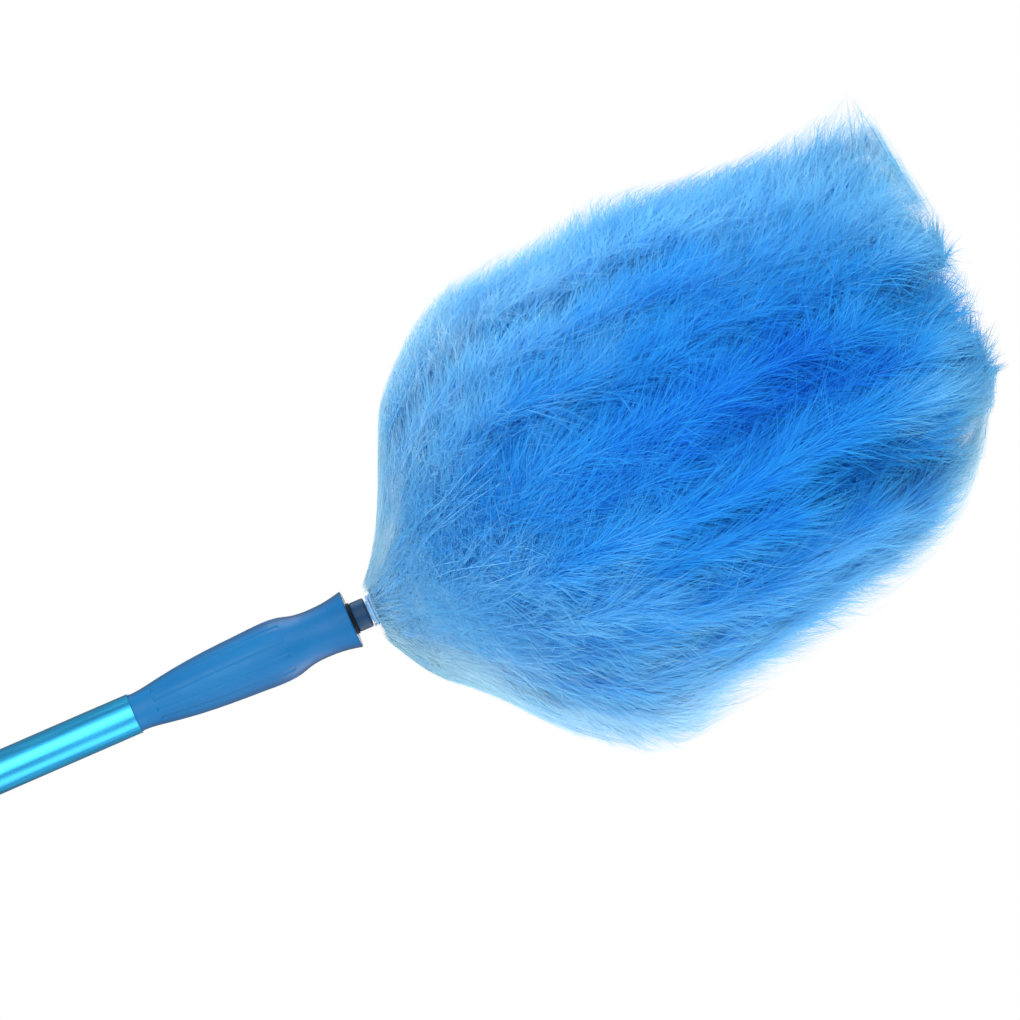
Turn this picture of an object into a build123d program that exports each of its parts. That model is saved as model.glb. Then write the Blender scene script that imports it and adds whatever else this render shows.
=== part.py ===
from build123d import *
import math
import os

# Extendable feather duster: a telescopic pole with a twist lock, a ferrule grip and a screw-in plume head.
#
# Millimetres, +Z up along the pole. The origin is the centre of the hanging eye in the end cap at the butt, and
# the plume head is at the top. The head is lopsided: its full, square-shouldered side faces -X and its shorter,
# rounded side faces +X. Every function returns one piece, and the table at the end names and writes them.

# --- pole tubes ---------------------------------------------------------------------------------------------
FRONT_OD = 22.0  # front tube, the one that slides
REAR_OD = 25.0  # rear tube, the one that is held
WALL = 0.7
FRONT_ID = FRONT_OD - 2 * WALL
REAR_ID = REAR_OD - 2 * WALL
PLUG_GAP = 0.05  # radial room of a glued or pressed plug
SLIDE_GAP = 0.05  # radial room of a sliding or turning fit
REAR_BASE = 17.0
REAR_TOP = 400.0
FRONT_TOP = 530.0

# --- end cap with its hanging eye ---------------------------------------------------------------------------
EYE_R = 4.5
TAB_R = 10.0
TAB_T = 9.0
CAP_FLANGE_R = 13.6
CAP_FLANGE_LOW = 9.0
CAP_FLANGE_ROUND = 3.0
CAP_PLUG_TOP = 45.0
CAP_PLUG_BORE_R = 8.5

# --- rear hand grip -----------------------------------------------------------------------------------------
GRIP_BASE = 18.5
GRIP_LENGTH = 128.0
GRIP_R = 15.2
GRIP_LIP_R = 16.6
GRIP_LIP_H = 5.0
GRIP_LIP_ROUND = 1.8
GRIP_RIBS = 11
GRIP_RIB_PITCH = 9.0
GRIP_RIB_R = 2.0

# --- twist lock ---------------------------------------------------------------------------------------------
BUSH_DEPTH = 24.0
BUSH_FLANGE = 1.5
COLLET_R = 14.5
COLLET_DEPTH = 22.0
SHOULDER = REAR_TOP + BUSH_FLANGE  # where the collet steps in from the rear tube to the front tube
STEP_LOW, STEP_HIGH = SHOULDER + 2.0, SHOULDER + 4.0  # cone between the collet's sleeve and its fingers
FINGER_R = 13.0
FINGER_BASE = SHOULDER + 6.0
FINGER_TOP = 430.0
FINGER_ROOM = 0.1  # radial room of the open fingers on the front tube, and of the nut on the collet
FINGER_COUNT = 6
SLOT_W = 2.0
GROOVE_DEPTH = 0.8
GROOVE_BASE = 384.0
GROOVE_H = 3.0
NUT_BASE = 379.0
NUT_TOP = 435.0
NUT_R = 17.6
NUT_BEAD = 0.7
NUT_NOSE = 12.0
NUT_NOSE_R = 13.2
NUT_LIP_R = FRONT_OD / 2 + 0.4
NUT_FLUTES = 14
NUT_FLUTE_R = 2.6
NUT_FLUTE_DEPTH = 1.1
NUT_FLUTE_LOW, NUT_FLUTE_HIGH = NUT_BASE + 5.0, NUT_TOP - 14.0

# --- guide at the front tube's lower end --------------------------------------------------------------------
GUIDE_FLANGE_H = 10.0
GUIDE_FLANGE_R = REAR_ID / 2 - 0.15
GUIDE_BORE_R = 7.0
GUIDE_SPIGOT = 25.0
CLOSED_GAP = 2.0  # what is left between the guide plug and the end cap's plug when the pole is closed
FRONT_BASE = CAP_PLUG_TOP + CLOSED_GAP + GUIDE_FLANGE_H
RING_H = 4.0
RING_R = REAR_ID / 2 - SLIDE_GAP
RING_T = 1.8
RING_ROOM = 0.1  # room of the ring in its groove, below, above and behind it
RING_SPLIT = 1.6

# --- hand-grip ferrule: (height above the tube's end, radius) of its outline ---------------------------------
FERRULE_OUTLINE = (
    (0.0, 10.2),
    (4.5, 10.3),
    (12.0, 11.3),
    (22.0, 12.9),
    (35.0, 14.5),
    (50.0, 15.7),
    (68.0, 16.6),
    (81.0, 17.0),
    (88.0, 16.2),
    (95.0, 14.3),
    (104.0, 13.5),
    (113.0, 13.9),
    (119.5, 15.0),
    (123.5, 15.9),
)
FERRULE_SPIGOT = 30.0
FERRULE_TOP = FRONT_TOP + FERRULE_OUTLINE[-1][0]
FERRULE_HOLLOW_R = 8.0
FERRULE_WEB = 32.0  # depth below the mouth at which the hollow stops
FLUTES = 12
FLUTE_R = 4.0
FLUTE_DEPTH = 0.35
FLUTE_LOW, FLUTE_HIGH = 20.0, 86.0

# --- screw thread between the ferrule and the neck ----------------------------------------------------------
THREAD_PITCH = 4.0
THREAD_TURNS = 4
THREAD_CORE_R = 6.0
THREAD_CREST_R = 7.1
THREAD_ROOM = 0.25
THREAD_FOOT_W = 1.9
THREAD_CREST_W = 0.9
SOCKET_DEPTH = 22.0
SHANK_LENGTH = 20.0

# --- neck, washer and dowel ---------------------------------------------------------------------------------
WASHER_R = 8.6
WASHER_T = 1.5
NECK_R = 8.1
NECK_H = 8.0
DOWEL_R = 4.0
DOWEL_DEPTH = 12.0
DOWEL_LENGTH = 72.0
NECK_BASE = FERRULE_TOP + WASHER_T
NECK_TOP = NECK_BASE + NECK_H

# --- plume head: envelope outlines as (height above the neck, radius) ---------------------------------------
HEAD_H = 350.0
FULL_SIDE = (
    (0, 9),
    (17, 34),
    (34, 70),
    (56, 108),
    (84, 131),
    (115, 143),
    (195, 150),
    (265, 143),
    (328, 138),
    (346, 112),
)
SHORT_SIDE = (
    (0, 10),
    (16, 42),
    (34, 64),
    (56, 86),
    (82, 110),
    (110, 122),
    (165, 117),
    (215, 108),
    (265, 88),
    (312, 60),
)
# layer: (plumes, share of the envelope's radius, tie's height above the neck, first plume's share of a step)
LAYERS = {
    "outer": (14, 0.93, 0.6, 0.0),
    "middle": (11, 0.62, 12.0, 0.5),
    "inner": (7, 0.31, 24.0, 0.25),
}
QUILL_R = 0.9
TIE_H = 8.0  # straight, tied length of a quill
TIE_R = DOWEL_R + QUILL_R + 0.15
PLUME_T = 3.0
# blade: (place along the spine, share of its slice's width, share of its thickness)
BLADE_SHAPE = (
    (0.04, 0.2, 0.3),
    (0.12, 0.55, 0.5),
    (0.25, 0.85, 0.9),
    (0.45, 1.0, 1.0),
    (0.65, 0.95, 1.0),
    (0.85, 0.7, 0.8),
    (0.995, 0.12, 0.3),
)
PLUME_FILL = 0.86  # share of its slice of the circle that a plume's blade takes
WIRE_R = 0.45
WIRE_PITCH = 1.05
WIRE_TURNS = 5
CORD_R = 0.7
CORD_PITCH = 1.6
CORD_TURNS = 3
WOUND_ROOM = 0.1  # radial room between a wound wire or cord and what it is wound on


def ring(outer_r, inner_r, low, high):
    """A plain tube from height low to height high."""
    height = high - low
    shape = Cylinder(outer_r, height, align=(Align.CENTER, Align.CENTER, Align.MIN))
    if inner_r:
        shape -= Cylinder(inner_r, height, align=(Align.CENTER, Align.CENTER, Align.MIN))
    return Pos(0, 0, low) * shape


def turned(points):
    """Turns a closed outline of (radius, height) points about Z."""
    face = make_face(Polyline(*[(r, 0, z) for r, z in points], close=True))
    return revolve(face, Axis.Z)


def turned_smooth(low, high, curve, inner_r):
    """Turns a smooth outer curve of (height, radius) points, bored to inner_r, about Z."""
    outline = Spline(*[(r, 0, z) for z, r in curve])
    sides = Polyline((curve[-1][1], 0, high), (inner_r, 0, high), (inner_r, 0, low), (curve[0][1], 0, low))
    return revolve(make_face(outline + sides), Axis.Z)


def around(count, item):
    """Copies of item spaced evenly about Z."""
    return [Rot(0, 0, 360 * i / count) * item for i in range(count)]


# --- rear body ----------------------------------------------------------------------------------------------
def end_cap():
    """Butt cap: a hollow plug in the rear tube, a flange under its rim and a tab with the hanging eye."""
    tab = extrude(Plane.XZ * Circle(TAB_R), TAB_T / 2, both=True)
    tab += Pos(0, 0, TAB_R / 2) * Box(2 * TAB_R, TAB_T, TAB_R)
    flange = ring(CAP_FLANGE_R, 0, CAP_FLANGE_LOW, REAR_BASE)
    flange = fillet(flange.edges().sort_by(Axis.Z)[0], CAP_FLANGE_ROUND)
    plug = ring(REAR_ID / 2 - PLUG_GAP, CAP_PLUG_BORE_R, REAR_BASE, CAP_PLUG_TOP)
    cap = tab + flange + plug
    return cap - extrude(Plane.XZ * Circle(EYE_R), TAB_T, both=True)


def rear_tube():
    return ring(REAR_OD / 2, REAR_ID / 2, REAR_BASE, REAR_TOP)


def rear_grip():
    """Soft sleeve on the rear tube: a lip at each end and rounded rings between them."""
    bore = REAR_OD / 2 + PLUG_GAP
    top = GRIP_BASE + GRIP_LENGTH
    sleeve = ring(GRIP_R, bore, GRIP_BASE, top)
    for low in (GRIP_BASE, top - GRIP_LIP_H):
        lip = ring(GRIP_LIP_R, bore, low, low + GRIP_LIP_H)
        outer_edges = lip.edges().filter_by(GeomType.CIRCLE).sort_by(SortBy.RADIUS)[-2:]
        sleeve += fillet(outer_edges, GRIP_LIP_ROUND)
    first = GRIP_BASE + (GRIP_LENGTH - (GRIP_RIBS - 1) * GRIP_RIB_PITCH) / 2
    for i in range(GRIP_RIBS):
        sleeve += Pos(0, 0, first + i * GRIP_RIB_PITCH) * Torus(GRIP_R - GRIP_RIB_R / 2, GRIP_RIB_R)
    return sleeve - ring(bore, 0, GRIP_BASE, top)


def stop_bush():
    """Flanged bush in the rear tube's mouth: it guides the front tube and stops the guide plug."""
    bore = FRONT_OD / 2 + SLIDE_GAP
    sleeve = ring(REAR_ID / 2 - PLUG_GAP, bore, REAR_TOP - BUSH_DEPTH, REAR_TOP)
    return sleeve + ring(REAR_OD / 2, bore, REAR_TOP, SHOULDER)


def collet():
    """Sleeve glued over the rear tube's mouth: split fingers round the front tube, and the nut's groove."""
    sleeve_bore = REAR_OD / 2 + PLUG_GAP
    finger_bore = FRONT_OD / 2 + FINGER_ROOM
    groove_r = COLLET_R - GROOVE_DEPTH
    body = turned(
        [
            (sleeve_bore, REAR_TOP - COLLET_DEPTH),
            (COLLET_R, REAR_TOP - COLLET_DEPTH),
            (COLLET_R, GROOVE_BASE),
            (groove_r, GROOVE_BASE),
            (groove_r, GROOVE_BASE + GROOVE_H),
            (COLLET_R, GROOVE_BASE + GROOVE_H),
            (COLLET_R, STEP_LOW),
            (FINGER_R, STEP_HIGH),
            (FINGER_R, FINGER_TOP - 2.0),
            (FINGER_R - 0.8, FINGER_TOP),
            (finger_bore, FINGER_TOP),
            (finger_bore, SHOULDER),
            (sleeve_bore, SHOULDER),
        ]
    )
    slot_height = FINGER_TOP - FINGER_BASE + 1.0
    slot = Pos(FINGER_R, 0, FINGER_BASE) * Box(
        FINGER_R, SLOT_W, slot_height, align=(Align.CENTER, Align.CENTER, Align.MIN)
    )
    for cut in around(FINGER_COUNT, slot):
        body -= cut
    return body


def lock_nut():
    """Fluted twist nut: a snap bead holds it in the collet's groove, and its bore squeezes the fingers."""
    bead_low = GROOVE_BASE + 0.2
    bead_high = GROOVE_BASE + GROOVE_H - 0.2
    sleeve_bore = COLLET_R + FINGER_ROOM
    finger_bore = FINGER_R + FINGER_ROOM
    body = turned(
        [
            (sleeve_bore, NUT_BASE),
            (NUT_R - 1.2, NUT_BASE),
            (NUT_R, NUT_BASE + 1.5),
            (NUT_R, NUT_TOP - NUT_NOSE),
            (NUT_NOSE_R + 1.2, NUT_TOP - 1.0),
            (NUT_NOSE_R, NUT_TOP),
            (NUT_LIP_R, NUT_TOP),
            (NUT_LIP_R, FINGER_TOP + 1.0),
            (finger_bore, FINGER_TOP),
            (finger_bore, STEP_HIGH),
            (sleeve_bore, STEP_LOW),
            (sleeve_bore, bead_high),
            (sleeve_bore - NUT_BEAD, bead_high),
            (sleeve_bore - NUT_BEAD, bead_low),
            (sleeve_bore, bead_low),
        ]
    )
    reach = NUT_FLUTE_HIGH - NUT_FLUTE_LOW
    flute = ring(NUT_FLUTE_R, 0, 0, reach) + Sphere(NUT_FLUTE_R) + Pos(0, 0, reach) * Sphere(NUT_FLUTE_R)
    flute = Pos(NUT_R + NUT_FLUTE_R - NUT_FLUTE_DEPTH, 0, NUT_FLUTE_LOW) * flute
    for cut in around(NUT_FLUTES, flute):
        body -= cut
    return body


# --- sliding pole -------------------------------------------------------------------------------------------
def front_tube():
    return ring(FRONT_OD / 2, FRONT_ID / 2, FRONT_BASE, FRONT_TOP)


def guide_plug():
    """Plug in the front tube's lower end: its flange runs in the rear tube and has the ring's groove."""
    low = FRONT_BASE - GUIDE_FLANGE_H
    groove_low = low + (GUIDE_FLANGE_H - RING_H) / 2
    plug = ring(GUIDE_FLANGE_R, GUIDE_BORE_R, low, FRONT_BASE)
    plug -= ring(REAR_ID / 2, RING_R - RING_T - RING_ROOM, groove_low, groove_low + RING_H)
    return plug + ring(FRONT_ID / 2 - PLUG_GAP, GUIDE_BORE_R, FRONT_BASE, FRONT_BASE + GUIDE_SPIGOT)


def guide_ring():
    """Split nylon ring in the guide plug's groove. It slides in the rear tube, and the plug turns inside it."""
    low = FRONT_BASE - (GUIDE_FLANGE_H + RING_H) / 2 + RING_ROOM
    shape = ring(RING_R, RING_R - RING_T, low, low + RING_H - 2 * RING_ROOM)
    return shape - Pos(RING_R, 0, low) * Box(4 * RING_T, RING_SPLIT, 2 * RING_H)


def thread_ridge(room, turns, low):
    """A helical ridge about Z, starting at height low. room widens it all round, for the groove it runs in."""
    foot, crest = THREAD_FOOT_W / 2 + room, THREAD_CREST_W / 2 + room
    inner, outer = THREAD_CORE_R - 0.4, THREAD_CREST_R + room
    path = Helix(THREAD_PITCH, THREAD_PITCH * turns, THREAD_CORE_R)
    corners = ((inner, 0, -foot), (outer, 0, -crest), (outer, 0, crest), (inner, 0, foot))
    return Pos(0, 0, low) * sweep(make_face(Polyline(*corners, close=True)), path=path, is_frenet=True)


def ferrule():
    """Hand grip that carries the head: a spigot in the front tube, a fluted palm swell and a flared mouth."""
    curve = [(FRONT_TOP + h, r) for h, r in FERRULE_OUTLINE]
    body = turned_smooth(FRONT_TOP, FERRULE_TOP, curve, 0)
    body += ring(FRONT_ID / 2 - PLUG_GAP, 0, FRONT_TOP - FERRULE_SPIGOT, FRONT_TOP + 0.5)
    body = chamfer(body.edges().filter_by(GeomType.CIRCLE).sort_by(Axis.Z)[-1], 0.6)
    low, high = FRONT_TOP + FLUTE_LOW, FRONT_TOP + FLUTE_HIGH
    curve_at = Spline(*[(r + FLUTE_R - FLUTE_DEPTH, 0, z) for z, r in curve if low - 9 <= z <= high + 3])
    start = curve_at @ 0
    flute = sweep(Plane(origin=start, z_dir=curve_at % 0) * Circle(FLUTE_R), path=curve_at)
    for cut in around(FLUTES, Rot(0, 0, 180 / FLUTES) * flute):
        body -= cut
    body -= ring(FERRULE_HOLLOW_R, 0, FRONT_TOP - FERRULE_SPIGOT, FERRULE_TOP - FERRULE_WEB)
    body -= ring(THREAD_CORE_R + THREAD_ROOM, 0, FERRULE_TOP - SOCKET_DEPTH, FERRULE_TOP)
    groove_low = FERRULE_TOP - THREAD_PITCH * (THREAD_TURNS + 1) + 0.8
    body -= thread_ridge(THREAD_ROOM, THREAD_TURNS + 1, groove_low)
    return body


# --- plume head ---------------------------------------------------------------------------------------------
def neck_washer():
    """Rubber washer between the ferrule's mouth and the neck."""
    return ring(WASHER_R, THREAD_CREST_R + 0.3, FERRULE_TOP, FERRULE_TOP + WASHER_T)


def neck():
    """Neck piece: a threaded shank below, a collar, and a socket that holds the dowel."""
    shank_low = NECK_BASE - SHANK_LENGTH
    body = ring(THREAD_CORE_R, 0, shank_low, NECK_BASE)
    body += thread_ridge(0, THREAD_TURNS, FERRULE_TOP - THREAD_PITCH * (THREAD_TURNS + 1) + 0.8)
    collar = fillet(ring(NECK_R, 0, NECK_BASE, NECK_TOP).edges().filter_by(GeomType.CIRCLE), 1.0)
    return body + collar - ring(DOWEL_R + PLUG_GAP, 0, NECK_TOP - DOWEL_DEPTH, NECK_TOP)


def dowel():
    """Wooden core that the quills are tied to."""
    low = NECK_TOP - DOWEL_DEPTH
    rod = ring(DOWEL_R, 0, low, low + DOWEL_LENGTH)
    return fillet(rod.edges().filter_by(GeomType.CIRCLE), 0.8)


def envelope(angle, share):
    """The head's outline at an angle about Z, as (height above the neck, radius) points, radii times share."""
    full = (1 - math.cos(angle)) / 2
    points = []
    for (h0, r0), (h1, r1) in zip(SHORT_SIDE, FULL_SIDE):
        points.append((h0 + (h1 - h0) * full, share * (r0 + (r1 - r0) * full)))
    return points


def plume(angle, count, share, tie):
    """One plume as a plain blade: a quill tied at the dowel, then a lens-shaped blade out to its tip."""
    low = tie + TIE_H
    spine = [(TIE_R, NECK_TOP + low)]
    for h, r in envelope(angle, share)[1:]:
        spine.append((max(r, TIE_R + 0.4), NECK_TOP + low + h * (HEAD_H - low) / HEAD_H))
    along = Vector(math.cos(angle), math.sin(angle), 0)
    side = Vector(-math.sin(angle), math.cos(angle), 0)
    up = Vector(0, 0, 1)
    path = Spline(*[along * r + up * z for r, z in spine])
    foot = Plane(origin=along * TIE_R + up * (NECK_TOP + tie), x_dir=side, z_dir=up)
    elbow = Plane(origin=path @ 0, x_dir=side, z_dir=path % 0 + up)
    sections = [foot * Circle(QUILL_R), elbow * Circle(QUILL_R)]
    for at, wide, thick in BLADE_SHAPE:
        centre = path @ at
        slice_w = math.hypot(centre.X, centre.Y) * math.tan(math.pi / count) * PLUME_FILL
        blade = Ellipse(max(1.2 * QUILL_R, slice_w * wide), max(QUILL_R, PLUME_T / 2 * thick))
        sections.append(Plane(origin=centre, x_dir=side, z_dir=path % at) * blade)
    return loft(sections, ruled=True)


def plumes(layer):
    count, share, tie, first = LAYERS[layer]
    return Compound([plume(2 * math.pi * (i + first) / count, count, share, tie) for i in range(count)])


def wound(wire_r, pitch, turns, core_r, low):
    """A round wire or cord wound about Z on a core, starting at height low."""
    path = Helix(pitch, pitch * turns, core_r + WOUND_ROOM + wire_r)
    section = Plane(origin=path @ 0, z_dir=path % 0) * Circle(wire_r)
    return Pos(0, 0, low) * sweep(section, path=path, is_frenet=True)


def tie_wire(layer):
    """The binding wire wound over one layer's quills."""
    return wound(WIRE_R, WIRE_PITCH, WIRE_TURNS, TIE_R + QUILL_R, NECK_TOP + LAYERS[layer][2] + WIRE_R + 0.3)


def binding_cord():
    """The cord wound over the wire of the outer layer, where the head meets the neck."""
    wire_surface = TIE_R + QUILL_R + WOUND_ROOM + 2 * WIRE_R
    return wound(CORD_R, CORD_PITCH, CORD_TURNS, wire_surface, NECK_TOP + CORD_R + 0.4)


PIECES = {
    "end_cap": end_cap,
    "rear_tube": rear_tube,
    "rear_grip": rear_grip,
    "stop_bush": stop_bush,
    "collet": collet,
    "lock_nut": lock_nut,
    "front_tube": front_tube,
    "guide_plug": guide_plug,
    "guide_ring": guide_ring,
    "ferrule": ferrule,
    "neck_washer": neck_washer,
    "neck": neck,
    "dowel": dowel,
    "binding_cord": binding_cord,
    "plumes_outer": lambda: plumes("outer"),
    "plumes_middle": lambda: plumes("middle"),
    "plumes_inner": lambda: plumes("inner"),
    "tie_wire_outer": lambda: tie_wire("outer"),
    "tie_wire_middle": lambda: tie_wire("middle"),
    "tie_wire_inner": lambda: tie_wire("inner"),
}

os.makedirs("parts", exist_ok=True)
for node, make in PIECES.items():
    export_step(make(), f"parts/{node}.step")
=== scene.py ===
import math

import bpy
import numpy as np
from mathutils import Matrix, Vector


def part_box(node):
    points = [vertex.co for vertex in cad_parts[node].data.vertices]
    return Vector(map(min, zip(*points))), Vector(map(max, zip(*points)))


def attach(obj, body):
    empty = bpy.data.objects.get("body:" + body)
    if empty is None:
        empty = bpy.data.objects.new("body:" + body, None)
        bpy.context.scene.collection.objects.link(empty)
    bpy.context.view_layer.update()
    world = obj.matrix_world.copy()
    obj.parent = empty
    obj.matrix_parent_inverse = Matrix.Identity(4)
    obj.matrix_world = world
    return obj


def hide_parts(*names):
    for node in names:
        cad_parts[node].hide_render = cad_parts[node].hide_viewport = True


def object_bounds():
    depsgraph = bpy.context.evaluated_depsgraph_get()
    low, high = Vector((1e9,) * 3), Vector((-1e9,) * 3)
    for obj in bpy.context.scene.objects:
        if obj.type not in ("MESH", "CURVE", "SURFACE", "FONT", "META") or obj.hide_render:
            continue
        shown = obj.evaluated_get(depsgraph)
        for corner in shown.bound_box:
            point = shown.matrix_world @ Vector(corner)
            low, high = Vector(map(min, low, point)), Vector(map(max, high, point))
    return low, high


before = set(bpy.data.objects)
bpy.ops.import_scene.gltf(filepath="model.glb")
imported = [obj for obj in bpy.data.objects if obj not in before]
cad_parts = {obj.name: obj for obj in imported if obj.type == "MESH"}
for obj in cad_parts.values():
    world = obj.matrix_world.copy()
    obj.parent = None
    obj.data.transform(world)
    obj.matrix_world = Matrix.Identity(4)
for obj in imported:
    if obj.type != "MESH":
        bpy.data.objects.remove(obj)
CAD_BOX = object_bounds()

# Looks of the feather duster, in metres, in the frame of its CAD model: +Z runs up the pole to the plume
# head, and -X is the head's full side. The pole, grip and neck are the CAD nodes with materials of their
# own. Every plume is built here as a quill with barbs, in four rows. Each row is tied in one of the three
# layers that have a wire in the CAD model.

MM = 0.001
RANDOM = np.random.default_rng(7)

# --- places that come from the frame ------------------------------------------------------------------
LAYERS = ("outer", "middle", "inner")
NECK_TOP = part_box("neck")[1].z
CORD_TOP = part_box("binding_cord")[1].z
TIE_BASE = {layer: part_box(f"tie_wire_{layer}")[0].z for layer in LAYERS}
TIE_TOP = {layer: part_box(f"tie_wire_{layer}")[1].z for layer in LAYERS}
QUILL_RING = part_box("dowel")[1].x + 1.05 * MM  # radius at which the quills are tied

# --- outline of the head ------------------------------------------------------------------------------
# (height above the neck, radius) in mm, for the full side and the short side
HEAD_H = 351.0
FULL_SIDE = (
    (0, 9), (16, 26), (31, 54), (47, 90), (63, 109), (94, 131), (157, 141), (196, 148), (236, 141),
    (290, 136), (330, 136), (344, 122), (351, 0),
)
SHORT_SIDE = (
    (0, 10), (16, 38), (39, 59), (79, 104), (110, 124), (157, 120), (212, 110), (267, 94), (299, 78),
    (322, 55), (351, 0),
)
# the same without the rounded far end, for the quills to follow
FULL_BODY = FULL_SIDE[:9] + ((351, 138),)
SHORT_BODY = SHORT_SIDE[:7] + ((267, 98), (351, 84))
FOOT_H = 5.0  # mm above the neck, below which barbs are drawn back up
FOOT_PULL = 0.82  # share of what is below that which is made up
FAR_H = HEAD_H - 6  # mm above the neck, past which barbs are drawn back down
FAR_PULL = 0.7  # share of what is past that which is taken off
SLACK = 1.5 * MM  # how far past the outline a barb goes before it is drawn back, except at the foot
GIVE = (0.05, 0.25)  # share of what is past that which a barb keeps: at the foot, and what is added higher up
FRINGE = 6 * MM  # the most that a barb keeps of it

# --- plumes -------------------------------------------------------------------------------------------
# row: (layer it is tied in, plumes, pieces, range of shares of the outline's radius, range of reaches as
# shares of the full length, barbs each, barb width)
ROWS = {
    "skin": ("outer", 54, 6, (0.84, 0.92), (0.45, 1.0), 3300, 0.32 * MM),
    "outer": ("outer", 38, 6, (0.78, 0.88), (0.90, 1.0), 4200, 0.32 * MM),
    "middle": ("middle", 28, 4, (0.42, 0.72), (0.88, 1.0), 3000, 0.46 * MM),
    "inner": ("inner", 16, 2, (0.08, 0.42), (0.88, 1.0), 2000, 0.6 * MM),
}
QUILL_R = 0.6 * MM
QUILL_GAP = 10 * MM  # the least from a quill to the outline, above the foot
QUILL_STEPS = 400  # up the head, to find where a quill ends
FOOT_STEPS = 60  # of them, where the head is narrower than the gap and no quill ends
DRIFT = 0.06  # typical radians that a plume's tip strays sideways
WAVE = 0.05  # share of the radius by which a quill waves in and out
BARB_LENGTH = 38 * MM
BARB_STEPS = 3
BARB_TAPER = np.array([0.8, 1.0, 0.6, 0.0])
BARBS_PER_TUFT = 16
# in degrees: (mean, how far tufts differ, how far the barbs of a tuft differ)
LEAN_OUT = (16, 34, 32)
SPREAD_FROM_QUILL = (50, 18, 17)
VANE_TILT = 26
CURL = (0.5, 0.34)  # how far tufts differ, and the barbs of a tuft
COMB_TO_FULL_SIDE = (0.1, 0.7)  # on the short side, and what is added to it on the full side
COMB_AHEAD = 1.1  # on the short side

DOWN_PER_PLUME = 240
DOWN_W = 0.32 * MM
DOWN_PALER = 0.12
BARE_QUILLS = 190
BARE_LENGTH = (28, 95)  # mm of height
BARE_LIFT = 0.8 * MM  # the most that they lie above or below the outline
BARE_R = 0.45 * MM
BARE_SWAY = 3.4 * MM  # typical distance that a kink is off the line
BARE_SLANT = 0.22  # typical sideways run for each unit of height

# the smooth body whose surface directions shade the fluff: its middle's height above the neck, and radii
BODY_MIDDLE = 180 * MM
BODY_RADII = np.array([138, 138, 185]) * MM
BODY_SHADING = 0.7  # the rest of a barb's shading direction is its own

# --- paleness of the barbs, from 0 deep to 1 pale -----------------------------------------------------
# painted light: paler towards the barbs' tips, for light coming through them
TIP_PALE = 0.10
# painted light: paler near the neck, for light through the thin fluff there
NECK_PALE = 0.20
FAR_PALE = 0.34
# painted light on the outermost barbs, which leaves the inner ones deeper as painted shade
EDGE_PALE = 0.10
SKIN_PALE = (0.40, 0.12, 0.25)  # painted light on the outer barbs: everywhere, what the neck adds and what the short side adds
SIDES_PAINTED_SHARE = 0.45  # of the skin's paleness, what is painted into the colour towards the head's ±X sides; the rest is painted light on the fringe where it is seen edge on
NECK_FADE = 200  # mm above the neck where its paleness ends
FAR_FADE = (250, 350)  # mm above the neck where the far end's paleness starts, and where it is full
PLUME_TONE = 0.06  # how far plumes differ
PLUME_TONE_LIMIT = 0.09
BARB_TONE = 0.05  # how far the barbs of a plume differ
BARBS, QUILLS = 0, 1  # material slots of a plume piece
JOINED = ("vertices", "normals", "paleness", "rim", "spots")  # what a part of a piece gives for each vertex

# --- stage --------------------------------------------------------------------------------------------
# name: (azimuth, height, distance, size, watts, tilt up). Azimuth 0 is in front, at -Y, and 90 is at +X.
LIGHTS = {
    "key_strip": (-28, 0.72, 1.6, (1.0, 1.7), 13, 0),
    "fill_strip": (60, 0.72, 1.6, (1.1, 1.7), 14, 0),
    "full_side": (-105, 0.95, 1.1, (0.8, 0.6), 10, 0),
    "short_side": (105, 0.9, 1.1, (0.8, 0.6), 9, 0),
    "top": (-35, 1.9, 1.3, (1.2, 0.8), 12, -42),
    "low_front": (-8, 0.22, 1.4, (1.1, 0.7), 8, 20),
    "back": (180, 1.0, 1.8, (1.0, 1.4), 10, 0),
}
WORLD_LIGHT = 0.55  # on the object; the camera sees white
FLOOR_R = 1.6
FLOOR_FADE = (0.15, 0.9)  # radii where the floor starts to fade and where it is gone
LENS = 135  # mm
SENSOR = 36  # mm
VIEW_SPAN = 534.5 * MM
VIEW_RISE = math.radians(23.5)  # how far the pole rises to the right of the picture
VIEW_AIM = (-19.3 * MM, 89.4 * MM)  # across the pole, and along it from the top of the neck


# --- node helpers -------------------------------------------------------------------------------------
def new_material(name):
    """A material as (material, tree, Principled shader)."""
    made = bpy.data.materials.new(name)
    made.use_nodes = True
    tree = made.node_tree
    return made, tree, tree.nodes["Principled BSDF"]


def connect(tree, socket, value):
    """Links an input to another node, or sets it to a plain value."""
    if isinstance(value, bpy.types.NodeSocket):
        tree.links.new(value, socket)
    else:
        socket.default_value = value


def feed(tree, made, **inputs):
    """Connects a node's inputs by name, with underscores for spaces."""
    for name, value in inputs.items():
        connect(tree, made.inputs[name.replace("_", " ")], value)


def node(tree, kind, **inputs):
    """A new node with its inputs connected by name."""
    made = tree.nodes.new(kind)
    feed(tree, made, **inputs)
    return made


def maths(tree, operation, *values):
    """One step of arithmetic on sockets and numbers."""
    made = tree.nodes.new("ShaderNodeMath")
    made.operation = operation
    for socket, value in zip(made.inputs, values):
        connect(tree, socket, value)
    return made.outputs["Value"]


def attribute(tree, name):
    """A number that the mesh keeps at each point."""
    made = tree.nodes.new("ShaderNodeAttribute")
    made.attribute_name = name
    return made.outputs["Fac"]


def facing_away(tree):
    """0 where the surface faces the eye and 1 where it is seen edge on."""
    return node(tree, "ShaderNodeLayerWeight", Blend=0.5).outputs["Facing"]


def place(tree, stretch=(1, 1, 1)):
    """The point in the frame, in metres, stretched before a pattern reads it."""
    where = node(tree, "ShaderNodeTexCoord").outputs["Object"]
    return node(tree, "ShaderNodeMapping", Vector=where, Scale=stretch).outputs["Vector"]


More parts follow.
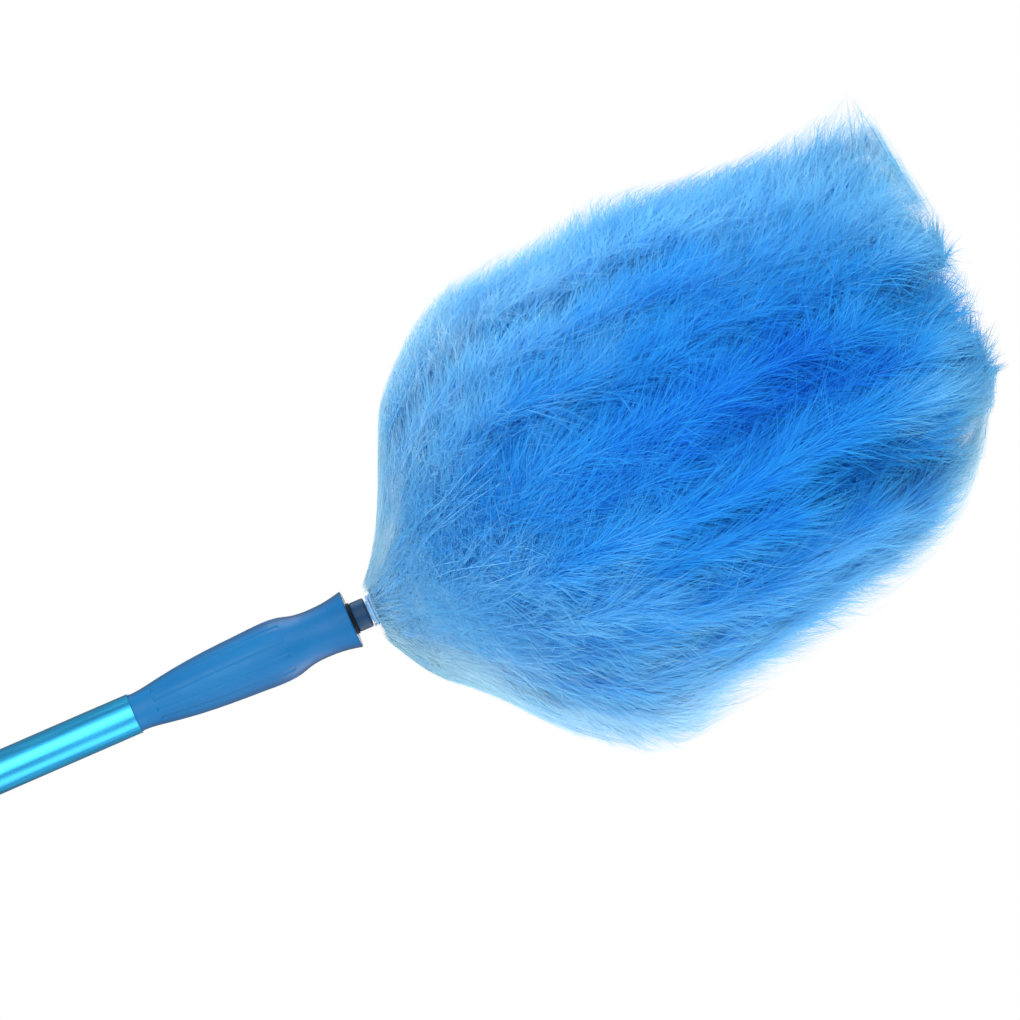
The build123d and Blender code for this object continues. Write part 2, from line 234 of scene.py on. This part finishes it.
def noise(tree, scale, stretch=(1, 1, 1), detail=3.0):
    where = place(tree, stretch)
    return node(tree, "ShaderNodeTexNoise", Vector=where, Scale=scale, Detail=detail).outputs["Fac"]


def ramp(tree, value, *stops):
    """Colours or greys along value, as (position, colour) stops."""
    made = node(tree, "ShaderNodeValToRGB", Fac=value)
    made.color_ramp.interpolation = "EASE"
    elements = made.color_ramp.elements
    while len(elements) < len(stops):
        elements.new(0.5)
    for element, (at, colour) in zip(elements, stops):
        element.position = at
        element.color = (*colour, 1) if isinstance(colour, tuple) else (colour, colour, colour, 1)
    return made.outputs["Color"]


def bump(tree, height, depth_mm, strength):
    depth = depth_mm * MM
    return node(tree, "ShaderNodeBump", Height=height, Distance=depth, Strength=strength).outputs["Normal"]


def painted_edge_shade(tree, colour, edge):
    """A colour that falls to a share of itself where the surface turns edge on: painted shade at the edges.
    """
    depth = node(tree, "ShaderNodeMapRange", Value=facing_away(tree), From_Min=0.35, From_Max=0.95)
    feed(tree, depth, To_Min=1.0, To_Max=edge)
    deep = node(tree, "ShaderNodeVectorMath")
    deep.operation = "SCALE"
    feed(tree, deep, Vector=colour, Scale=depth.outputs["Result"])
    return deep.outputs["Vector"]


def show_mix(tree, share, first, second):
    """Shows two shaders mixed, with this share of the second."""
    both = node(tree, "ShaderNodeMixShader", Fac=share)
    connect(tree, both.inputs[1], first.outputs["BSDF"])
    connect(tree, both.inputs[2], second.outputs["BSDF"])
    feed(tree, tree.nodes["Material Output"], Surface=both.outputs["Shader"])


# --- materials ----------------------------------------------------------------------------------------
def tube_lacquer():
    """Glossy candy-blue lacquer over drawn aluminium, with painted shade towards the tube's edges."""
    made, tree, shader = new_material("tube_lacquer")
    drawn = noise(tree, 90, (6, 6, 0.25))
    colour = ramp(tree, drawn, (0.3, (0.018, 0.30, 0.58)), (0.7, (0.03, 0.38, 0.70)))
    # painted shade: the lacquer's colour darkens where the tube turns edge on
    feed(tree, shader, Base_Color=painted_edge_shade(tree, colour, 0.28), Metallic=0.9)
    feed(tree, shader, Coat_Weight=0.35, Coat_Roughness=0.2, Specular_Tint=(0.15, 0.5, 0.6, 1.0))
    feed(tree, shader, Roughness=ramp(tree, drawn, (0.2, 0.27), (0.8, 0.37)))
    return made


def moulded(name, dark, light, rough, edge=0.6):
    """Satin moulded plastic with faint flow streaks along the pole and a fine spark-eroded grain, and painted
    shade that darkens its colour where the surface turns edge on.
    """
    made, tree, shader = new_material(name)
    colour = ramp(tree, noise(tree, 45, (1, 1, 0.25)), (0.3, dark), (0.7, light))
    # painted shade: the colour darkens towards the edges
    feed(tree, shader, Base_Color=painted_edge_shade(tree, colour, edge), Specular_IOR_Level=0.18)
    feed(tree, shader, Roughness=ramp(tree, noise(tree, 160), (0.3, rough - 0.05), (0.7, rough + 0.07)))
    feed(tree, shader, Normal=bump(tree, noise(tree, 2600), 0.03, 0.5))
    return made


def foam_grip():
    """Soft black-blue foamed rubber with an open-pored skin."""
    made, tree, shader = new_material("grip_foam")
    pores = node(tree, "ShaderNodeTexVoronoi", Vector=place(tree), Scale=900.0).outputs["Distance"]
    colour = ramp(tree, noise(tree, 220), (0.3, (0.006, 0.011, 0.02)), (0.7, (0.014, 0.022, 0.036)))
    feed(tree, shader, Base_Color=colour, Roughness=0.82, Normal=bump(tree, pores, 0.25, 0.7))
    return made


def turned_wood():
    made, tree, shader = new_material("dowel_wood")
    grain = noise(tree, 160, (1, 1, 0.06), 5.0)
    colour = ramp(tree, grain, (0.35, (0.42, 0.24, 0.11)), (0.65, (0.60, 0.39, 0.21)))
    feed(tree, shader, Base_Color=colour, Roughness=0.6, Normal=bump(tree, grain, 0.1, 0.5))
    return made


def drawn_wire():
    made, tree, shader = new_material("tie_wire")
    colour = ramp(tree, noise(tree, 700, (1, 1, 0.2)), (0.3, 0.42), (0.7, 0.62))
    feed(tree, shader, Base_Color=colour, Metallic=1.0, Roughness=0.32)
    return made


def twisted_cord():
    made, tree, shader = new_material("binding_cord")
    wave = node(tree, "ShaderNodeTexWave", Vector=place(tree), Scale=420.0, Distortion=2.0)
    strands = wave.outputs["Fac"]
    colour = ramp(tree, strands, (0.2, (0.13, 0.32, 0.62)), (0.8, (0.42, 0.66, 0.90)))
    feed(tree, shader, Base_Color=colour, Roughness=0.85, Normal=bump(tree, strands, 0.2, 0.8))
    return made


def plume_barbs():
    """Dyed down: deep blue where paleness is 0, near white with a cyan cast where it is 1; much of the
    paleness is painted light. The fringe, where the head is seen edge on, is paler still: painted light, as
    if light came through it.
    """
    made, tree, shader = new_material("plume_barbs")
    # painted light: paler where the head's body is seen edge on
    grazing = maths(tree, "POWER", facing_away(tree), 0.5)
    fringe = maths(tree, "MULTIPLY_ADD", grazing, attribute(tree, "rim"), attribute(tree, "paleness"))
    blotched = maths(tree, "MULTIPLY_ADD", noise(tree, 26, detail=4.0), 0.34, fringe)
    colour = ramp(
        tree,
        blotched,
        (0.15, (0.004, 0.18, 0.77)),
        (0.42, (0.024, 0.36, 0.85)),
        (0.70, (0.16, 0.56, 0.90)),
        (1.00, (0.54, 0.80, 0.94)),
    )
    feed(tree, shader, Base_Color=colour, Roughness=0.8, Specular_IOR_Level=0.08)
    feed(tree, shader, Sheen_Weight=0.8, Sheen_Roughness=0.4, Sheen_Tint=(0.45, 0.9, 1.0, 1.0))
    show_mix(tree, 0.35, shader, node(tree, "ShaderNodeBsdfTranslucent", Color=colour))
    return made


def plume_quill():
    """Horny quill, dyed a paler blue than the barbs."""
    made, tree, shader = new_material("plume_quill")
    fibres = noise(tree, 300, (1, 1, 0.1))
    colour = ramp(tree, fibres, (0.3, (0.09, 0.42, 0.86)), (0.7, (0.22, 0.60, 0.94)))
    feed(tree, shader, Base_Color=colour, Roughness=0.55, Specular_IOR_Level=0.2)
    return made


# --- head outline -------------------------------------------------------------------------------------
def curve_at(points, x):
    """A smooth curve through (x, y) points."""
    xs, ys = np.array(points, float).T
    slopes = np.gradient(ys, xs)
    i = np.clip(np.searchsorted(xs, x) - 1, 0, len(xs) - 2)
    span = xs[i + 1] - xs[i]
    t = np.clip((x - xs[i]) / span, 0, 1)
    low, high = slopes[i] * span, slopes[i + 1] * span
    a = 2 * ys[i] - 2 * ys[i + 1] + low + high
    b = -3 * ys[i] + 3 * ys[i + 1] - 2 * low - high
    return ((a * t + b) * t + low) * t + ys[i]


def fullness(angle):
    """1 on the head's full side, which faces -X, and 0 on its short side."""
    return (1 - np.cos(angle)) / 2


def outline(angle, height, full=FULL_SIDE, short=SHORT_SIDE):
    """Radius of the head, in metres, at an angle about Z and a height above the neck in mm."""
    share = fullness(angle)
    return MM * (share * curve_at(full, height) + (1 - share) * curve_at(short, height))


def on_head(points):
    """(angle about Z, radius in metres, height above the neck in mm) of points."""
    angle = np.arctan2(points[..., 1], points[..., 0])
    radius = np.hypot(points[..., 0], points[..., 1])
    return angle, radius, (points[..., 2] - NECK_TOP) / MM


def from_head(angle, radius, height):
    """Points at angles about Z, radii in metres and heights above the neck in mm."""
    return np.stack([radius * np.cos(angle), radius * np.sin(angle), NECK_TOP + height * MM], axis=-1)


def held_in(points):
    """Draws points that stray outside the head's outline back towards it, and off the neck."""
    angle, radius, height = on_head(points)
    over = np.clip(height - FAR_H, 0, None)
    under = np.clip(FOOT_H - height, 0, None)
    height = height - FAR_PULL * over + FOOT_PULL * under
    limit = outline(angle, np.clip(height, 0, HEAD_H - 4)) + SLACK * np.clip(height / 30, 0, 1)
    give = GIVE[0] + GIVE[1] * np.clip((height - 15) / 90, 0, 1)
    past = give * np.clip(radius - limit, 0, None)
    kept = np.minimum(radius, limit + FRINGE * (1 - np.exp(-past / FRINGE)))
    return from_head(angle, kept, height)


# --- plumes -------------------------------------------------------------------------------------------
def unit(v):
    return v / np.maximum(np.linalg.norm(v, axis=-1, keepdims=True), 1e-12)


def between(path, share, at):
    """Points of a path, at places along its shares."""
    return np.stack([np.interp(at, share, path[:, k]) for k in range(3)], axis=1)


def square_to(directions, run):
    """Directions with what runs along run taken out."""
    return unit(directions - run * np.sum(directions * run, axis=1, keepdims=True))


def off_the_ring(radius, heights, low, run):
    """Leads a radius out from the tied ring, over the first run of heights in mm."""
    lead = np.clip((heights - low) / run, 0, 1)
    return QUILL_RING + (radius - QUILL_RING) * lead * (2 - lead)


def quill_path(layer, angle, share, reach, samples=72):
    """A plume's quill: straight where it is tied, then out to its share of the outline and up the head."""
    low = (TIE_TOP[layer] - NECK_TOP) / MM + 0.6
    heights = np.linspace(low, HEAD_H - 3, QUILL_STEPS)
    drift = RANDOM.normal(0, DRIFT) * (heights / HEAD_H) ** 1.5
    wave = WAVE * np.sin(heights / HEAD_H * RANDOM.uniform(4, 10) + RANDOM.uniform(0, 6.28))
    turned = angle + drift + 0.6 * wave
    body = share * (1 + wave) * outline(turned, heights, FULL_BODY, SHORT_BODY)
    radius = off_the_ring(body, heights, low, 20)
    inside = radius < outline(turned, heights) - QUILL_GAP
    inside[:FOOT_STEPS] = True
    end = len(inside) if inside.all() else int(np.argmin(inside))
    foot = from_head(angle, QUILL_RING, (TIE_BASE[layer] - NECK_TOP) / MM - 0.4)
    path = np.vstack([foot, from_head(turned, radius, heights)[:end]])
    along = np.concatenate([[0], np.cumsum(np.linalg.norm(np.diff(path, axis=0), axis=1))])
    return between(path, along, np.linspace(0, along[-1] * reach, samples))


def on_quill(path, at):
    """Where barbs grow, at shares of a quill's length: (points, ahead, outward and across directions)."""
    share = np.linspace(0, 1, len(path))
    position = between(path, share, at)
    ahead = unit(between(unit(np.gradient(path, axis=0)), share, at))
    outward = square_to(position * np.array([1.0, 1.0, 0.0]), ahead)
    return position, ahead, outward, np.cross(ahead, outward)


def grown(position, start, curl, length, outward, facing):
    """Curved barbs from their roots, as (points of each barb, width direction of each barb)."""
    steps = np.linspace(0, 1, BARB_STEPS + 1)[None, :, None]
    bent = start[:, None] * steps + 0.5 * curl[:, None] * steps**2
    points = held_in(position[:, None] + length[:, None, None] * bent)
    run = unit(points[:, -1] - points[:, 0])
    return points, unit(np.cross(run, outward + RANDOM.normal(0, facing, position.shape)))


def tufted(tuft, sets, mean, between_tufts, within):
    """Angles in radians that differ from tuft to tuft and, less, from barb to barb."""
    return np.radians(RANDOM.normal(mean, between_tufts, sets)[tuft] + RANDOM.normal(0, within, len(tuft)))


def vane(path, count):
    """The barbs along both sides of a quill, gathered in tufts that lean and curl together, all combed
    towards the head's full side.
    """
    at = np.sort(RANDOM.uniform(0.05, 1.0, count) ** 0.85)
    position, ahead, outward, across = on_quill(path, at)
    tufts = max(count // BARBS_PER_TUFT, 1)
    sets = 2 * tufts + 2
    side = RANDOM.choice([-1.0, 1.0], count)
    tuft = np.clip((at * tufts + RANDOM.normal(0, 0.7, count)).astype(int), 0, tufts) * 2 + (side > 0)
    lean = tufted(tuft, sets, *LEAN_OUT) + side * np.radians(RANDOM.normal(0, VANE_TILT))
    spread = tufted(tuft, sets, *SPREAD_FROM_QUILL)[:, None]
    sideways = across * (side * np.cos(lean))[:, None] + outward * np.sin(lean)[:, None]
    full = fullness(on_head(position)[0])[:, None]
    comb = np.array([-1.0, 0.0, 0.0]) * (COMB_TO_FULL_SIDE[0] + COMB_TO_FULL_SIDE[1] * full)
    comb = comb + ahead * COMB_AHEAD * (1 - full)
    start = unit(ahead * np.cos(spread) + sideways * np.sin(spread) + comb)
    shape = np.clip(at / 0.25, 0.3, 1) * (1 - 0.08 * np.clip((at - 0.7) / 0.3, 0, 1) ** 2)
    length = BARB_LENGTH * shape * RANDOM.uniform(0.5, 1.1, count)
    curl = RANDOM.normal(0, CURL[0], (sets, 3))[tuft] + RANDOM.normal(0, CURL[1], (count, 3))
    curl += ahead * 0.45 - outward * 0.2
    return grown(position, start, curl, length, outward, 0.4)


def down(path, count):
    """Short loose down at the foot of a quill, which closes the head round the neck."""
    at = RANDOM.uniform(0.0, 0.13, count)
    position, ahead, outward, across = on_quill(path, at)
    around = RANDOM.normal(0, 0.5, count)[:, None]
    start = unit(outward + across * around + ahead * 0.9 + RANDOM.normal(0, 0.25, (count, 3)))
    length = MM * RANDOM.uniform(8, 16, count) * (0.6 + 6 * at)
    return grown(position, start, RANDOM.normal(0, 0.8, (count, 3)), length, outward, 0.5)


def bare_quill(angle):
    """A thin quill without barbs that comes out of the binding and lies on the head, with a few kinks."""
    low = (CORD_TOP - NECK_TOP) / MM + 0.5
    heights = np.linspace(low, low + RANDOM.uniform(*BARE_LENGTH), 40)
    kinks = RANDOM.integers(3, 6)
    places = np.linspace(heights[0], heights[-1], kinks)
    sway = np.interp(heights, places, RANDOM.normal(0, 1, kinks) * BARE_SWAY)
    sway = np.convolve(np.pad(sway, 2, "edge"), np.ones(5) / 5, "valid")
    slant = RANDOM.normal(0, BARE_SLANT) * (heights - low) * MM
    turned = angle + (sway + slant) / np.maximum(outline(angle, heights), 12 * MM)
    radius = outline(turned, heights) + BARE_LIFT * RANDOM.uniform(-1, 1)
    return from_head(turned, off_the_ring(radius, heights, low, 7), heights)


def paleness_of(points, plume_tone, barb_tone):
    """(paleness, rim): paleness is more towards the tips, the neck, the far end and the head's short side
    and skin, where all but the far end is painted light. Rim is the most that the painted light on the fringe
    adds to it.
    """
    angle, radius, height = on_head(points)
    edge = radius / np.maximum(outline(angle, np.clip(height, 4, HEAD_H - 20)), 5 * MM)
    tip = np.linspace(0, 1, points.shape[1])[None]
    near_neck = np.clip(1 - height / NECK_FADE, 0, 1)
    far_end = np.clip((height - FAR_FADE[0]) / (FAR_FADE[1] - FAR_FADE[0]), 0, 1)
    short = 1 - fullness(angle)
    # painted light: the outer barbs are paler towards the head's ±X sides
    sides = np.abs(np.cos(angle)) ** (1.0 + 2.5 * (1 - short))
    # painted light towards the tips and near the neck; the far end is paler as well
    pale = TIP_PALE * tip + NECK_PALE * near_neck**0.8 + FAR_PALE * far_end**2
    # painted light on the outer barbs, more near the neck and on the short side
    skin = SKIN_PALE[0] + SKIN_PALE[1] * near_neck + SKIN_PALE[2] * short
    skin = skin * np.clip((edge - 0.4) / 0.6, 0, 1)
    # painted light: paler towards the ±X sides and on the outermost barbs
    pale += SIDES_PAINTED_SHARE * skin * sides + EDGE_PALE * np.clip((edge - 0.85) / 0.2, 0, 1)
    pale += plume_tone * (1 + 0.8 * near_neck) + barb_tone[:, None]
    return pale, (1 - SIDES_PAINTED_SHARE) * skin


def body_normals(points):
    """Directions out of the smooth body that fills the head, at points in or on it."""
    return unit((points - np.array([0, 0, NECK_TOP + BODY_MIDDLE])) / BODY_RADII**2)


# --- meshes -------------------------------------------------------------------------------------------
def ribbons(points, width, widest):
    """Ribbons along rows of points, each ending in a point and with its front outwards, as (vertices of
    each ribbon, quads, triangles).
    """
    count, rows = points.shape[:2]
    front = np.cross(width, points[:, -1] - points[:, 0])
    inwards = np.sum(front * body_normals(points[:, 0]), axis=1) < 0
    width = np.where(inwards[:, None], -width, width)
    half = width[:, None] * (widest / 2 * BARB_TAPER)[None, :-1, None]
    sides = np.stack([points[:, :-1] - half, points[:, :-1] + half], axis=2).reshape(count, -1, 3)
    vertices = np.concatenate([sides, points[:, -1:]], axis=1)
    base = np.arange(count)[:, None] * vertices.shape[1]
    quads = [base + np.array([2 * k, 2 * k + 1, 2 * k + 3, 2 * k + 2]) for k in range(rows - 2)]
    last = 2 * (rows - 2)
    return vertices, np.stack(quads, axis=1), base + np.array([last, last + 1, last + 2])


def quill_tube(path, thickness, sides=6):
    """A tapered tube along a quill's path as (vertices, quads, end caps)."""
    tangents = unit(np.gradient(path, axis=0))
    outward = square_to(path * np.array([1.0, 1.0, 0.0]), tangents)
    across = np.cross(tangents, outward)
    taper = thickness * (1 - 0.85 * np.linspace(0, 1, len(path)) ** 0.8)
    turn = np.linspace(0, 2 * math.pi, sides, endpoint=False)[None, :, None]
    ring = outward[:, None] * np.cos(turn) + across[:, None] * np.sin(turn)
    vertices = (path[:, None] + ring * taper[:, None, None]).reshape(-1, 3)
    quads = []
    for row in range(len(path) - 1):
        for k in range(sides):
            a, b = row * sides + k, row * sides + (k + 1) % sides
            quads.append((a, b, b + sides, a + sides))
    low = tuple(reversed(range(sides)))
    high = tuple(range((len(path) - 1) * sides, len(path) * sides))
    return vertices, np.array(quads), [low, high]


def barb_part(points, width, tones, widest):
    """Barbs as a part of a piece. Each barb has a cell of its own in the piece's map."""
    vertices, quads, triangles = ribbons(points, width, widest)
    count, each = vertices.shape[:2]
    front = unit(np.cross(vertices[:, 1] - vertices[:, 0], points[:, -1] - points[:, 0]))[:, None]
    normals = unit(BODY_SHADING * body_normals(vertices) + (1 - BODY_SHADING) * front)
    pale, rim = (np.concatenate([np.repeat(t[:, :-1], 2, axis=1), t[:, -1:]], axis=1) for t in tones)
    spots = [(0.25 + 0.5 * (k % 2), 0.1 + 0.8 * (k // 2) / BARB_STEPS) for k in range(each - 1)]
    spots.append((0.5, 0.9))
    return {
        "vertices": vertices.reshape(-1, 3),
        "normals": normals.reshape(-1, 3),
        "paleness": pale.ravel(),
        "rim": rim.ravel(),
        "quads": quads.reshape(-1, 4),
        "triangles": triangles,
        "caps": [],
        "cells": np.repeat(np.arange(count), each),
        "spots": np.tile(spots, (count, 1)),
        "material": BARBS,
    }


def quill_part(path, thickness):
    """A quill as a part of a piece, with one cell in the piece's map."""
    vertices, quads, caps = quill_tube(path, thickness)
    rows, sides = len(path), len(vertices) // len(path)
    around = np.tile(np.arange(sides), rows) / sides
    along = np.repeat(np.arange(rows), sides) / rows
    return {
        "vertices": vertices,
        "normals": unit(vertices - np.repeat(path, sides, axis=0)),
        "paleness": np.zeros(len(vertices)),
        "rim": np.zeros(len(vertices)),
        "quads": quads,
        "triangles": np.zeros((0, 3), int),
        "caps": caps,
        "cells": np.zeros(len(vertices), int),
        "spots": 0.1 + 0.8 * np.stack([around, along], axis=1),
        "material": QUILLS,
    }


def put(values, name, numbers, kind=np.float32):
    values.foreach_set(name, np.ravel(numbers).astype(kind))


def plume_mesh(name, parts, materials):
    """One piece from its parts."""
    starts = np.cumsum([0] + [len(part["vertices"]) for part in parts])
    first_cells = np.cumsum([0] + [part["cells"][-1] + 1 for part in parts])
    joined = {key: np.concatenate([part[key] for part in parts]) for key in JOINED}
    quads = np.concatenate([part["quads"] + start for part, start in zip(parts, starts)])
    triangles = np.concatenate([part["triangles"] + start for part, start in zip(parts, starts)])
    caps = [[v + start for v in cap] for part, start in zip(parts, starts) for cap in part["caps"]]
    loops = np.concatenate([quads.ravel(), triangles.ravel(), *caps]).astype(int)
    sizes = np.array([4] * len(quads) + [3] * len(triangles) + [len(cap) for cap in caps])
    kinds = np.repeat([part["material"] for part in parts], [len(part["quads"]) for part in parts])
    kinds = np.concatenate([kinds, np.full(len(triangles), BARBS), np.full(len(caps), QUILLS)])

    mesh = bpy.data.meshes.new(name)
    mesh.vertices.add(len(joined["vertices"]))
    put(mesh.vertices, "co", joined["vertices"])
    mesh.loops.add(len(loops))
    put(mesh.loops, "vertex_index", loops, np.int32)
    mesh.polygons.add(len(sizes))
    put(mesh.polygons, "loop_start", np.cumsum(sizes) - sizes, np.int32)
    put(mesh.polygons, "material_index", kinds, np.int32)
    put(mesh.polygons, "use_smooth", np.ones(len(sizes)), bool)
    for label in ("paleness", "rim"):
        made = mesh.attributes.new(label, "FLOAT", "POINT")
        put(made.data, "value", joined[label])
    put(mesh.attributes.new("custom_normal", "FLOAT_VECTOR", "POINT").data, "vector", joined["normals"])
    columns = math.ceil(math.sqrt(first_cells[-1]))
    cells = np.concatenate([part["cells"] + first for part, first in zip(parts, first_cells)])
    corners = np.stack([cells % columns, cells // columns], axis=1)
    put(mesh.uv_layers.new(name="OFBake").data, "uv", ((corners + joined["spots"]) / columns)[loops])
    mesh.update(calc_edges=True)
    mesh.validate()
    for material in materials:
        mesh.materials.append(material)
    piece = bpy.data.objects.new(name, mesh)
    bpy.context.scene.collection.objects.link(piece)
    return piece


def build_plumes(row, materials):
    """All of one row's plumes, in pieces by sector. Down and bare quills grow in the outer row only."""
    layer, count, pieces, shares, reaches, barbs, barb_w = ROWS[row]
    sectors = [([], []) for _ in range(pieces)]
    for i in range(count):
        fluff, quills = sectors[i * pieces // count]
        angle = 2 * math.pi * (i + 0.5 + RANDOM.uniform(-0.25, 0.25)) / count
        path = quill_path(layer, angle, RANDOM.uniform(*shares), RANDOM.uniform(*reaches))
        quills.append(quill_part(path, QUILL_R))
        if row == "outer":
            for _ in range(BARE_QUILLS // count):
                quills.append(quill_part(bare_quill(angle + RANDOM.normal(0, 0.1)), BARE_R))
        plume_tone = np.clip(RANDOM.normal(0, PLUME_TONE), -PLUME_TONE_LIMIT, PLUME_TONE_LIMIT)
        grown_sets = [(vane(path, int(barbs * RANDOM.uniform(0.9, 1.1))), 0.0, barb_w)]
        if row == "outer":
            grown_sets.append((down(path, DOWN_PER_PLUME), DOWN_PALER, DOWN_W))
        for (points, width), paler, widest in grown_sets:
            tones = paleness_of(points, plume_tone + paler, RANDOM.normal(0, BARB_TONE, len(points)))
            fluff.append(barb_part(points, width, tones, widest))
    for k, (fluff, quills) in enumerate(sectors):
        piece = plume_mesh(f"plumes_{row}_{k + 1}", fluff + quills, materials)
        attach(piece, "head")
        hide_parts(f"plumes_{layer}")


# --- stage --------------------------------------------------------------------------------------------
def build_light(name, azimuth, height, distance, size, watts, tilt):
    """A soft rectangular light that faces the pole's axis."""
    lamp = bpy.data.lights.new(name, "AREA")
    lamp.shape = "RECTANGLE"
    lamp.size, lamp.size_y = size
    lamp.energy = watts
    box = bpy.data.objects.new(name, lamp)
    a = math.radians(azimuth)
    box.location = (distance * math.sin(a), -distance * math.cos(a), height)
    box.rotation_euler = (math.radians(90 + tilt), 0, a)
    bpy.context.scene.collection.objects.link(box)


def build_world():
    """White to the camera and a dimmer neutral grey to the object, so that its edges keep their depth."""
    world = bpy.data.worlds.new("studio")
    bpy.context.scene.world = world
    world.use_nodes = True
    tree = world.node_tree
    seen = node(tree, "ShaderNodeLightPath").outputs["Is Camera Ray"]
    level = node(tree, "ShaderNodeMapRange", Value=seen, To_Min=WORLD_LIGHT, To_Max=1.0)
    feed(tree, tree.nodes["Background"], Strength=level.outputs["Result"], Color=(1, 1, 1, 1))


def build_floor():
    """Pale studio floor under the butt of the pole, which fades out towards its rim."""
    below = (0, 0, CAD_BOX[0].z - 1 * MM)
    bpy.ops.mesh.primitive_circle_add(vertices=96, radius=FLOOR_R, fill_type="NGON", location=below)
    floor = bpy.context.object
    floor.name = "floor"
    made, tree, shader = new_material("floor")
    feed(tree, shader, Base_Color=(0.93, 0.93, 0.93, 1), Roughness=0.9, Specular_IOR_Level=0.1)
    away = node(tree, "ShaderNodeVectorMath", Vector=place(tree))
    away.operation = "LENGTH"
    clear = node(tree, "ShaderNodeMapRange", Value=away.outputs["Value"])
    clear.interpolation_type = "SMOOTHSTEP"
    feed(tree, clear, From_Min=FLOOR_FADE[0], From_Max=FLOOR_FADE[1])
    show_mix(tree, clear.outputs["Result"], shader, node(tree, "ShaderNodeBsdfTransparent"))
    floor.data.materials.append(made)


def build_camera():
    """Long lens in front of the head. The picture is rolled so that the pole rises to the right."""
    camera = bpy.data.objects.new("camera", bpy.data.cameras.new("camera"))
    bpy.context.scene.collection.objects.link(camera)
    camera.data.lens = LENS
    camera.data.sensor_width = SENSOR
    rise, run = math.sin(VIEW_RISE), math.cos(VIEW_RISE)
    camera.matrix_world = Matrix(
        (
            (rise, -run, 0, VIEW_AIM[0]),
            (0, 0, -1, -VIEW_SPAN * LENS / SENSOR),
            (run, rise, 0, NECK_TOP + VIEW_AIM[1]),
            (0, 0, 0, 1),
        )
    )
    bpy.context.scene.camera = camera


def dress(material, *nodes):
    """Gives CAD nodes a material."""
    for name in nodes:
        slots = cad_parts[name].data.materials
        slots.clear()
        slots.append(material)


dress(tube_lacquer(), "front_tube", "rear_tube")
# the ferrule carries strong painted shade at its edges
dress(moulded("ferrule_plastic", (0.003, 0.10, 0.28), (0.005, 0.13, 0.33), 0.42, edge=0.15), "ferrule")
dress(moulded("cap_plastic", (0.006, 0.045, 0.19), (0.012, 0.07, 0.26), 0.40), "end_cap")
dress(moulded("lock_plastic", (0.006, 0.045, 0.19), (0.012, 0.07, 0.26), 0.36), "collet", "lock_nut")
dress(moulded("neck_plastic", (0.004, 0.035, 0.09), (0.007, 0.055, 0.14), 0.42), "neck")
nylon = moulded("inner_plastic", (0.60, 0.62, 0.64), (0.72, 0.74, 0.75), 0.45)
dress(nylon, "stop_bush", "guide_plug", "guide_ring")
dress(moulded("washer_rubber", (0.008, 0.01, 0.013), (0.018, 0.02, 0.024), 0.75), "neck_washer")
dress(foam_grip(), "rear_grip")
dress(turned_wood(), "dowel")
dress(twisted_cord(), "binding_cord")
dress(drawn_wire(), "tie_wire_outer", "tie_wire_middle", "tie_wire_inner")

plume_materials = (plume_barbs(), plume_quill())  # in the order of BARBS and QUILLS
for plume_row in ROWS:
    build_plumes(plume_row, plume_materials)

build_world()
build_floor()
build_camera()
for light_name, light in LIGHTS.items():
    build_light(light_name, *light)
bpy.context.scene.view_settings.view_transform = "Standard"
